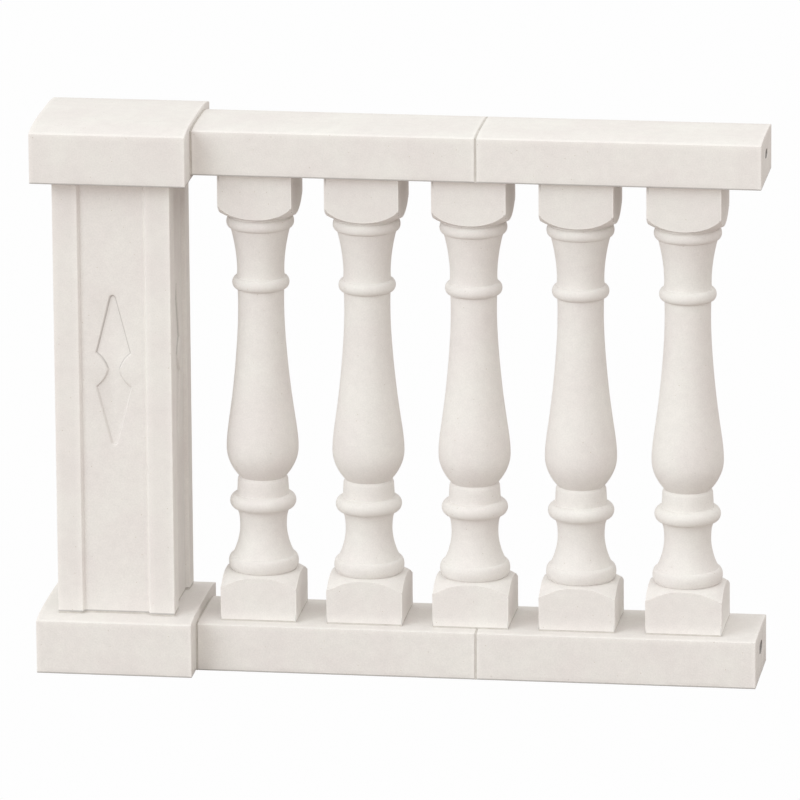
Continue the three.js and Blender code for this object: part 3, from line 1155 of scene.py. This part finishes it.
@dataclass
class Studio:
    """A pale floor, an even white surround, one soft key light and the camera."""

    azimuth: float = 8.18  # degrees to the right of straight ahead
    elevation: float = 15.19
    roll: float = 0.41
    distance: float = 17.0  # metres
    lens: float = 435.8
    sensor: float = 36.0
    clip: tuple[float, float] = (0.1, 400.0)  # metres
    aim_from_middle: tuple[float, float, float] = (-6.6, -3.2, -12.0)  # millimetres
    floor_half: float = 120.0  # metres
    floor_gap: float = 0.0005  # metres under the object
    floor_tone: str = "#B8AFAA"
    surround: str = "#FFFEFB"
    surround_strength: float = 0.84
    bright_side: tuple[float, float, float] = (0.0, -0.6, 0.8)
    bright_share: float = 0.4  # how much brighter that side is than the middle
    shown: str = "#FFFFFF"
    shown_strength: float = 0.99
    key_direction: tuple[float, float, float] = (-0.22, -0.24, 0.14)  # towards the light
    key_distance: float = 5.0  # metres
    key_colour: str = "#F0F8FC"
    key_strength: float = 0.97
    key_angle: float = 40.0  # degrees across, for soft edges to the shadows

    def build(self, low: Vector, high: Vector) -> None:
        """Sets everything up round the object.

        Args:
            low: The object's lowest corner in metres.
            high: The object's highest corner in metres.
        """
        self.lay_floor(low.z)
        self.surround_it()
        self.hang_key_light()
        self.place_camera((low + high) / 2)

    def plain_to_camera(
        self, tree: NodeTree, kind: str, lit: Node, output: Node
    ) -> None:
        """Shows the camera a plain white, and everything else a shader that lights the object.

        Args:
            tree: The tree of the floor or the surround.
            kind: The type of node that gives the white.
            lit: The shader that the object sees.
            output: The tree's output.
        """
        shown = add_node(
            tree, kind, None, {"Color": linear(self.shown), "Strength": self.shown_strength},
        )
        path = add_node(tree, "LightPath")
        mixed = add_node(
            tree, "MixShader", None, None,
            {0: path.outputs["Is Camera Ray"], 1: lit.outputs[0], 2: shown.outputs[0]},
        )
        tree.links.new(mixed.outputs[0], output.inputs["Surface"])

    def lay_floor(self, level: float) -> None:
        """Lays the floor.

        Args:
            level: Its height in metres.
        """
        bm = bmesh.new()
        bmesh.ops.create_grid(bm, x_segments=1, y_segments=1, size=self.floor_half)
        bmesh.ops.translate(bm, verts=bm.verts, vec=(0, 0, level - self.floor_gap))
        mesh = bpy.data.meshes.new("studio_floor")
        bm.to_mesh(mesh)
        bm.free()
        material, tree, output = empty_material("studio_paper_white")
        # As a reflector the floor is plain matt paper.
        paper = add_node(tree, "BsdfDiffuse", None, {"Color": linear(self.floor_tone)})
        self.plain_to_camera(tree, "Emission", paper, output)
        mesh.materials.append(material)
        floor = bpy.data.objects.new("studio_floor", mesh)
        bpy.context.scene.collection.objects.link(floor)
        floor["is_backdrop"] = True

    def surround_it(self) -> None:
        """Makes the white surround, which is brighter in front and above than behind."""
        world = bpy.data.worlds.new("studio_surround")
        world.use_nodes = True
        tree = world.node_tree
        tree.nodes.clear()
        way = add_node(tree, "TexCoord").outputs["Generated"]
        towards = add_node(
            tree, "VectorMath", {"operation": "DOT_PRODUCT"}, {1: self.bright_side}, {0: way},
        )
        strength = add_node(
            tree, "Math", {"operation": "MULTIPLY_ADD"},
            {1: self.surround_strength * self.bright_share, 2: self.surround_strength},
            {0: towards.outputs["Value"]},
        )
        lighting = add_node(
            tree, "Background", None,
            {"Color": linear(self.surround)}, {"Strength": strength.outputs[0]},
        )
        output = add_node(tree, "OutputWorld")
        self.plain_to_camera(tree, "Background", lighting, output)
        bpy.context.scene.world = world

    def hang_key_light(self) -> None:
        """Hangs the soft key light."""
        sun = bpy.data.lights.new("studio_key", "SUN")
        sun.energy = self.key_strength
        sun.color = linear(self.key_colour)[:3]
        sun.angle = math.radians(self.key_angle)
        key = bpy.data.objects.new("studio_key", sun)
        towards = Vector(self.key_direction).normalized()
        key.rotation_euler = towards.to_track_quat("Z", "Y").to_euler()
        key.location = towards * self.key_distance
        bpy.context.scene.collection.objects.link(key)

    def place_camera(self, middle: Vector) -> None:
        """Places the camera.

        Args:
            middle: The middle of the object in metres.
        """
        turned = (
            Matrix.Rotation(math.radians(self.azimuth), 4, "Z")
            @ Matrix.Rotation(math.radians(90.0 - self.elevation), 4, "X")
            @ Matrix.Rotation(math.radians(-self.roll), 4, "Z")
        )
        aim = middle + Vector(self.aim_from_middle) * MM
        data = bpy.data.cameras.new("camera")
        data.lens = self.lens
        data.sensor_width = self.sensor
        data.clip_start, data.clip_end = self.clip
        camera = bpy.data.objects.new("camera", data)
        stand = aim + turned.col[2].xyz * self.distance
        camera.matrix_world = Matrix.Translation(stand) @ turned
        bpy.context.scene.collection.objects.link(camera)
        bpy.context.scene.camera = camera
        bpy.context.scene.view_settings.view_transform = "Standard"


def main() -> None:
    """Builds the balustrade piece by piece, then the studio round it."""
    logging.basicConfig(level=logging.INFO, format="%(name)s: %(message)s")
    cad_low, cad_high = (Vector(corner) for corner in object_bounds())
    stone, mortar = CastStone().material(), Mortar().material()
    Pier().build(stone, mortar)
    plinth = Rail("plinth", rise=3.0, socket_radius=11.0, socket_level=51.0)
    crown = plinth.build(stone, mortar)
    BalusterRow().build(crown, stone, mortar)
    Rail("coping", rise=4.0, socket_radius=8.0, socket_level=46.0).build(stone, mortar)
    Studio().build(cad_low, cad_high)


if __name__ == "__main__":
    main()
